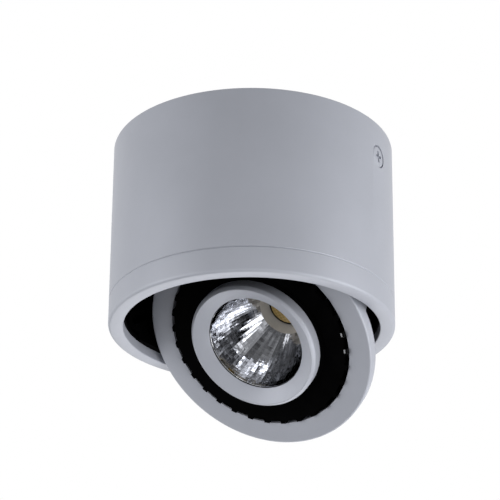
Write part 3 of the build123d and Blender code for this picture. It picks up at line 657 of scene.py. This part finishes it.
def pale_floor(colours):
    """Pale floor with faint clouds."""
    pale = Finish("pale_floor", colours.floor, 0.9, specular=0.1)
    pale.tint(pale.noise(3, detail=3), 0.98, 1.02)
    return pale


def black_rubber(colours):
    """Soft black rubber."""
    rubber = Finish("black_rubber", colours.rubber, 0.78, specular=0.25)
    rubber.tint(rubber.noise(300, detail=3), 0.8, 1.3)
    rubber.bump(rubber.noise(1400, detail=2), 3e-5, 0.6)
    return rubber


def friction_plastic(colours):
    """Black acetal of the friction washers."""
    plastic = Finish("friction_plastic", colours.washer, 0.45, specular=0.3, place=HEAD)
    plastic.tint(plastic.noise(400, detail=2), 0.8, 1.3)
    plastic.bump(plastic.noise(1500), 1e-5, 0.4)
    return plastic


NODE_FINISHES = {
    "ceiling_plate": plated_steel,
    "side_lugs": plated_steel,
    "cable_grommet": black_rubber,
    "terminal_block": white_nylon,
    "terminal_screws": plated_steel,
    "earth_screw": plated_steel,
    "driver_base": driver_plastic,
    "driver_cover": driver_plastic,
    "driver_screws": plated_steel,
    "housing_tube": silver_paint,
    "side_screws": silver_paint,
    "trim_ring": silver_paint,
    "glide_ring": black_steel,
    "retaining_ring": black_steel,
    "turntable": black_steel,
    "swing_ring": silver_paint,
    "pivot_pins": black_steel,
    "friction_washers": friction_plastic,
    "spring_washers": spring_steel,
    "heat_sink": anodised_black,
    "cooling_fins": anodised_black,
    "sink_screws": black_steel,
    # The shade ring is a black sheet behind the teeth, standing in for the shade seen through the
    # notches.
    "shade_ring": anodised_black,
    "spring_clip": clip_steel,
    "bezel_ring": silver_paint,
    "reflector": mirror_facets,
    "led_holder": holder_plastic,
    "led_board": solder_mask,
    "led_phosphor": phosphor_gel,
    "thermal_pad": thermal_gum,
}


# ------------------------------------------------------------------ operators
class SPOTLIGHT_OT_node_finishes(bpy.types.Operator):
    """Give every CAD node its finish"""

    bl_idname = "spotlight.node_finishes"
    bl_label = "Node Finishes"

    def execute(self, context):
        for name, maker in NODE_FINISHES.items():
            mesh = frame["nodes"][name].data
            mesh.materials.clear()
            mesh.materials.append(finish(maker))
        return {"FINISHED"}


class SPOTLIGHT_OT_housing(bpy.types.Operator):
    """Make the painted tube with its recesses, with black painted shade on its inner wall"""

    bl_idname = "spotlight.housing"
    bl_label = "Housing"

    def execute(self, context):
        size = context.scene.spotlight_housing
        inner = size.radius - size.wall
        form = lathe([(inner, 0), (size.radius, 0), (size.radius, SEAM_Z), (inner, SEAM_Z)])
        round_edge(form, size.radius, 0, size.seam_chamfer, segments=3)
        round_edge(form, size.radius, SEAM_Z, size.seam_chamfer, segments=1)
        tube = make_piece(
            form, "painted_tube", "housing", [finish(silver_paint), finish(inner_black)],
            stands_for=["housing_tube"],
        )
        bore = size.screw_head_radius + size.screw_gap
        for place in screw_places(size.radius):
            hole = bmesh.new()
            bmesh.ops.create_cone(
                hole, cap_ends=True, segments=48, radius1=bore, radius2=bore,
                depth=2 * size.screw_depth,
            )
            bmesh.ops.transform(hole, matrix=place, verts=hole.verts)
            cut(tube, hole)
        # Painted shade: the inner wall takes the black, as the inside lies in shadow.
        paint_faces(tube, 1, lambda at: hypot(at.x, at.y) < inner + TINY)
        return {"FINISHED"}


def screw_places(radius):
    """Where the two side screws stand, facing outwards, at a radius from the housing's axis."""
    vertices = [v.co for v in frame["nodes"]["side_screws"].data.vertices]
    right = [v for v in vertices if v.x > 0]
    centre = sum(right, Vector()) / len(right)
    azimuth = atan2(centre.y, centre.x)
    low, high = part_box("side_screws")
    height = ((low + high) / 2).z
    return [facing_out(azimuth + turn, radius, height) for turn in (0, pi)]


class SPOTLIGHT_OT_side_screws(bpy.types.Operator):
    """Make the two painted cross-head screws in their recesses"""

    bl_idname = "spotlight.side_screws"
    bl_label = "Side Screws"

    def execute(self, context):
        size = context.scene.spotlight_housing
        head = size.screw_head_radius
        bore = head * SCREW_BORE
        thick = size.screw_depth * SCREW_RISE
        for side, place in enumerate(screw_places(size.radius - size.screw_depth), start=1):
            form = lathe([(bore, 0), (head, 0), (head, thick), (bore, thick)], steps=64)
            round_edge(form, head, thick, thick * SCREW_ROUND, segments=6)
            bmesh.ops.holes_fill(form, edges=form.edges)
            screw = make_piece(
                form, f"side_screw_{side}", "housing", [finish(silver_paint)],
                place=place, stands_for=["side_screws"],
            )
            front = place @ Matrix.Translation((0, 0, thick * CROSS_HEIGHT))
            for turn in (0.0, pi / 2):
                bar = bmesh.new()
                bmesh.ops.create_cube(bar, size=1)
                bar_size = (head * CROSS_LENGTH, head * CROSS_WIDTH, thick)
                bmesh.ops.scale(bar, vec=bar_size, verts=bar.verts)
                at = front @ Matrix.Rotation(turn + CROSS_TURN, 4, "Z")
                bmesh.ops.transform(bar, matrix=at, verts=bar.verts)
                cut(screw, bar)
        return {"FINISHED"}


class SPOTLIGHT_OT_trim_ring(bpy.types.Operator):
    """Make the lower ring with its rounded rim and its lip"""

    bl_idname = "spotlight.trim_ring"
    bl_label = "Trim Ring"

    def execute(self, context):
        size = context.scene.spotlight_housing
        form = lathe([
            (size.mouth_radius, RIM_Z), (size.radius, RIM_Z), (size.radius, SEAM_Z),
            (size.groove_radius, SEAM_Z), (size.groove_radius, LEDGE_Z),
            (size.mouth_radius, LEDGE_Z),
        ])
        round_edge(form, size.radius, RIM_Z, size.rim_round, segments=8)
        round_edge(form, size.mouth_radius, RIM_Z, size.mouth_chamfer, segments=3)
        round_edge(form, size.radius, SEAM_Z, size.seam_chamfer, segments=1)
        ring = make_piece(
            form, "painted_rim", "housing", [finish(silver_paint), finish(inner_black)],
            stands_for=["trim_ring"],
        )

        # Painted shade: above the lip the ring's inside takes the black, as it lies in shadow.
        def shaded_above_lip(at):
            return at.z > LEDGE_Z - TINY and hypot(at.x, at.y) < size.groove_radius + TINY

        paint_faces(ring, 1, shaded_above_lip)
        return {"FINISHED"}


class SPOTLIGHT_OT_swing_ring(bpy.types.Operator):
    """Make the painted outer ring of the lamp head, with the lugs that carry its pins"""

    bl_idname = "spotlight.swing_ring"
    bl_label = "Swing Ring"

    def execute(self, context):
        size = context.scene.spotlight_head
        outer, bore = size.ring_radius, size.ring_radius - size.ring_width
        front, back = size.ring_depth, size.ring_depth + size.ring_thickness
        form = lathe([(bore, front), (outer, front), (outer, back), (bore, back)])
        round_edge(form, outer, front, size.ring_round, segments=6)
        round_edge(form, bore, front, size.ring_round / 3, segments=2)
        round_edge(form, outer, back, size.ring_round / 3, segments=2)
        for side in (-1, 1):
            inner = size.lug_inner * side
            first, second = pin_circles(size.pin_radius + size.lug_land, inner)
            foot = [Vector((inner, half * size.lug_foot / 2, back)) for half in (-1, 1)]
            add_hull(form, first + second + foot, Vector((side * size.lug_thickness, 0, 0)))
            face = inner + side * size.lug_thickness
            for circle in pin_circles(size.pin_radius + size.boss_land, face):
                add_hull(form, circle, Vector((side * size.boss_height, 0, 0)))
        make_piece(
            form, "painted_swing_ring", "head", [finish(silver_paint)], place=HEAD,
            stands_for=["swing_ring"],
        )
        return {"FINISHED"}


class SPOTLIGHT_OT_bezel(bpy.types.Operator):
    """Make the dished front ring round the reflector, with black painted shade on its inner wall"""

    bl_idname = "spotlight.bezel"
    bl_label = "Bezel"

    def execute(self, context):
        size = context.scene.spotlight_head
        front = size.bezel_radius - size.bezel_chamfer
        form = lathe([
            (front, 0), (size.bezel_radius, size.bezel_chamfer),
            (size.bezel_radius, size.bezel_back), (size.bezel_mouth, size.bezel_back),
            (size.bezel_mouth, size.bezel_dish),
        ])
        round_edge(form, front, 0, BEZEL_FRONT_ROUND, segments=4)
        round_edge(form, size.bezel_radius, size.bezel_chamfer, BEZEL_SHOULDER_ROUND, segments=4)
        round_edge(form, size.bezel_mouth, size.bezel_dish, BEZEL_MOUTH_ROUND, segments=3)
        ring = make_piece(
            form, "painted_bezel", "head", [finish(silver_paint), finish(anodised_black)],
            place=HEAD, stands_for=["bezel_ring"],
        )
        to_head = HEAD.inverted()

        # Painted shade: the inner wall behind the dish takes the black, standing in for the
        # shadowed gap before the reflector's lip.
        def inside(at):
            x, y, back = to_head @ at
            return back > size.bezel_dish + TINY and hypot(x, y) < size.bezel_mouth + TINY

        paint_faces(ring, 1, inside)
        return {"FINISHED"}


class SPOTLIGHT_OT_reflector(bpy.types.Operator):
    """Make the metallised reflector with its strips and hammered facets"""

    bl_idname = "spotlight.reflector"
    bl_label = "Reflector"

    def execute(self, context):
        size = context.scene.spotlight_head
        bowl_start = size.reflector_start + size.reflector_lip
        bowl_length = size.reflector_length - size.reflector_lip
        spread = size.reflector_front - size.reflector_back

        def bowl_radius(share):
            return size.reflector_back + spread * (1 - share**BOWL_POWER)

        inner = [
            (bowl_radius(row / size.rows), bowl_start + bowl_length * row / size.rows)
            for row in range(size.rows + 1)
        ]
        outer = [(radius + BOWL_WALL, depth) for radius, depth in reversed(inner[1:])]
        lip = size.reflector_front + size.reflector_lip
        flange = size.bezel_radius - FLANGE_INSET
        flange_front, flange_back = bowl_start + BOWL_WALL, bowl_start + 2 * BOWL_WALL
        form = lathe(
            inner + outer + [
                (lip + BOWL_WALL / 2, flange_back), (flange, flange_back),
                (flange, flange_front), (lip, flange_front), (lip, size.reflector_start),
            ],
            steps=size.strips * size.columns,
        )
        shuffle = random.Random(REFLECTOR_SEED)
        leans = [shuffle.uniform(-size.strip_lean, size.strip_lean) for _ in range(size.strips)]
        for vertex in form.verts:
            radius = hypot(vertex.co.x, vertex.co.y)
            share = (vertex.co.z - bowl_start) / bowl_length
            if BOWL_ENDS[0] < share < BOWL_ENDS[1] and radius < bowl_radius(share) + TINY:
                place = atan2(vertex.co.y, vertex.co.x) * size.strips / tau
                line, part = floor(place + TINY), (place + TINY) % 1
                ends = leans[line % size.strips], leans[(line + 1) % size.strips]
                lean = ends[0] * (1 - part) + ends[1] * part
                push = 1 + lean * min(1, LEAN_GROWTH * share)
                if share < HAMMERED_SHARE:
                    push += shuffle.uniform(-size.hammering, size.hammering)
                vertex.co.x *= push
                vertex.co.y *= push
        make_piece(
            form, "metallised_reflector", "head", [finish(mirror_facets)], place=HEAD,
            stands_for=["reflector"], sharp_angle=0.5,
        )
        return {"FINISHED"}


class SPOTLIGHT_OT_led_dam(bpy.types.Operator):
    """Make the dark dam round the LED's phosphor, a painted shadow line round it"""

    bl_idname = "spotlight.led_dam"
    bl_label = "LED Dam"

    def execute(self, context):
        size = context.scene.spotlight_head
        inner, outer = size.dam_inner, size.dam_outer
        front, back = size.board_depth - size.dam_height, size.board_depth
        form = lathe([(inner, front), (outer, front), (outer, back), (inner, back)], steps=96)
        for radius in (inner, outer):
            round_edge(form, radius, front, size.dam_height / 3, segments=3)
        make_piece(form, "led_dam", "head", [finish(dark_silicone)], place=HEAD)
        return {"FINISHED"}


class SPOTLIGHT_OT_stage(bpy.types.Operator):
    """Set up the floor, the white room, the soft lamps and the camera"""

    bl_idname = "spotlight.stage"
    bl_label = "Stage"

    def execute(self, context):
        scene = context.scene
        stage = scene.spotlight_stage
        scene.view_settings.view_transform = "Standard"
        make_floor(stage.floor_drop)
        make_room(scene, stage.ambient)
        aim = Vector((0, 0, RIM_Z / 2))
        for name, place, width in LAMPS:
            make_lamp(f"{name}_lamp", place, aim, width, getattr(stage, f"{name}_power"))
        make_camera(scene, stage)
        return {"FINISHED"}


def make_floor(drop):
    """A wide pale floor far below the lamp."""
    form = bmesh.new()
    bmesh.ops.create_circle(form, cap_ends=True, segments=96, radius=FLOOR_RADIUS)
    bmesh.ops.translate(form, vec=(0, 0, -drop), verts=form.verts)
    mesh = free_to_mesh(form, "floor")
    mesh.materials.append(finish(pale_floor))
    ground = add_object("floor", mesh)


def make_room(scene, ambient):
    """A white room: camera, gloss and glass see it at full white, and it lights the rest softly."""
    world = bpy.data.worlds.new("white_room")
    scene.world = world
    world.use_nodes = True
    nodes, links = world.node_tree.nodes, world.node_tree.links
    nodes.clear()
    output = nodes.new("ShaderNodeOutputWorld")
    path = nodes.new("ShaderNodeLightPath")
    seen, soft = nodes.new("ShaderNodeBackground"), nodes.new("ShaderNodeBackground")
    for background, strength in ((seen, 1), (soft, ambient)):
        background.inputs["Color"].default_value = (1, 1, 1, 1)
        background.inputs["Strength"].default_value = strength
    first, second = nodes.new("ShaderNodeMath"), nodes.new("ShaderNodeMath")
    first.operation = second.operation = "MAXIMUM"
    links.new(path.outputs["Is Camera Ray"], first.inputs[0])
    links.new(path.outputs["Is Glossy Ray"], first.inputs[1])
    links.new(first.outputs["Value"], second.inputs[0])
    links.new(path.outputs["Is Transmission Ray"], second.inputs[1])
    mix = nodes.new("ShaderNodeMixShader")
    links.new(second.outputs["Value"], mix.inputs["Fac"])
    links.new(soft.outputs["Background"], mix.inputs[1])
    links.new(seen.outputs["Background"], mix.inputs[2])
    links.new(mix.outputs["Shader"], output.inputs["Surface"])


def make_lamp(name, place, aim, width, watts):
    """A square soft lamp that faces a point."""
    light = bpy.data.lights.new(name, "AREA")
    light.shape = "SQUARE"
    light.size = width
    light.energy = watts
    lamp = add_object(name, light)
    lamp.location = place
    lamp.rotation_euler = (aim - Vector(place)).to_track_quat("-Z", "Y").to_euler()


def make_camera(scene, stage):
    """The camera that the photograph was fitted with."""
    data = bpy.data.cameras.new("camera")
    data.sensor_width = SENSOR_WIDTH
    data.lens = stage.lens
    camera = add_object("camera", data)
    turn = (
        Matrix.Rotation(-stage.camera_yaw, 4, "Z")
        @ Matrix.Rotation(pi / 2 + stage.camera_pitch, 4, "X")
        @ Matrix.Rotation(stage.camera_roll, 4, "Z")
    )
    camera.matrix_world = Matrix.Translation(CAMERA_PLACE) @ turn
    scene.camera = camera


OPERATORS = (
    SPOTLIGHT_OT_node_finishes,
    SPOTLIGHT_OT_housing,
    SPOTLIGHT_OT_side_screws,
    SPOTLIGHT_OT_trim_ring,
    SPOTLIGHT_OT_swing_ring,
    SPOTLIGHT_OT_bezel,
    SPOTLIGHT_OT_reflector,
    SPOTLIGHT_OT_led_dam,
    SPOTLIGHT_OT_stage,
)


class SPOTLIGHT_PT_panel(bpy.types.Panel):
    """Lists the steps that dress the spotlight"""

    bl_idname = "SPOTLIGHT_PT_panel"
    bl_label = "Ceiling Spotlight"
    bl_space_type = "VIEW_3D"
    bl_region_type = "UI"
    bl_category = "Spotlight"

    def draw(self, context):
        for operator in OPERATORS:
            self.layout.operator(operator.bl_idname)
        for name, group in SETTINGS.items():
            box = self.layout.box()
            box.label(text=group.__name__)
            for setting in group.__annotations__:
                box.prop(getattr(context.scene, name), setting)


def register():
    for group in SETTINGS.values():
        bpy.utils.register_class(group)
    for name, group in SETTINGS.items():
        setattr(bpy.types.Scene, name, PointerProperty(type=group))
    for operator in OPERATORS:
        bpy.utils.register_class(operator)
    bpy.utils.register_class(SPOTLIGHT_PT_panel)


def unregister():
    bpy.utils.unregister_class(SPOTLIGHT_PT_panel)
    for operator in reversed(OPERATORS):
        bpy.utils.unregister_class(operator)
    for name in SETTINGS:
        delattr(bpy.types.Scene, name)
    for group in reversed(list(SETTINGS.values())):
        bpy.utils.unregister_class(group)


def main():
    """Dresses the frame."""
    register()
    bpy.ops.spotlight.node_finishes()
    bpy.ops.spotlight.housing()
    bpy.ops.spotlight.side_screws()
    bpy.ops.spotlight.trim_ring()
    bpy.ops.spotlight.swing_ring()
    bpy.ops.spotlight.bezel()
    bpy.ops.spotlight.reflector()
    bpy.ops.spotlight.led_dam()
    bpy.ops.spotlight.stage()


if __name__ == "__main__":
    main()
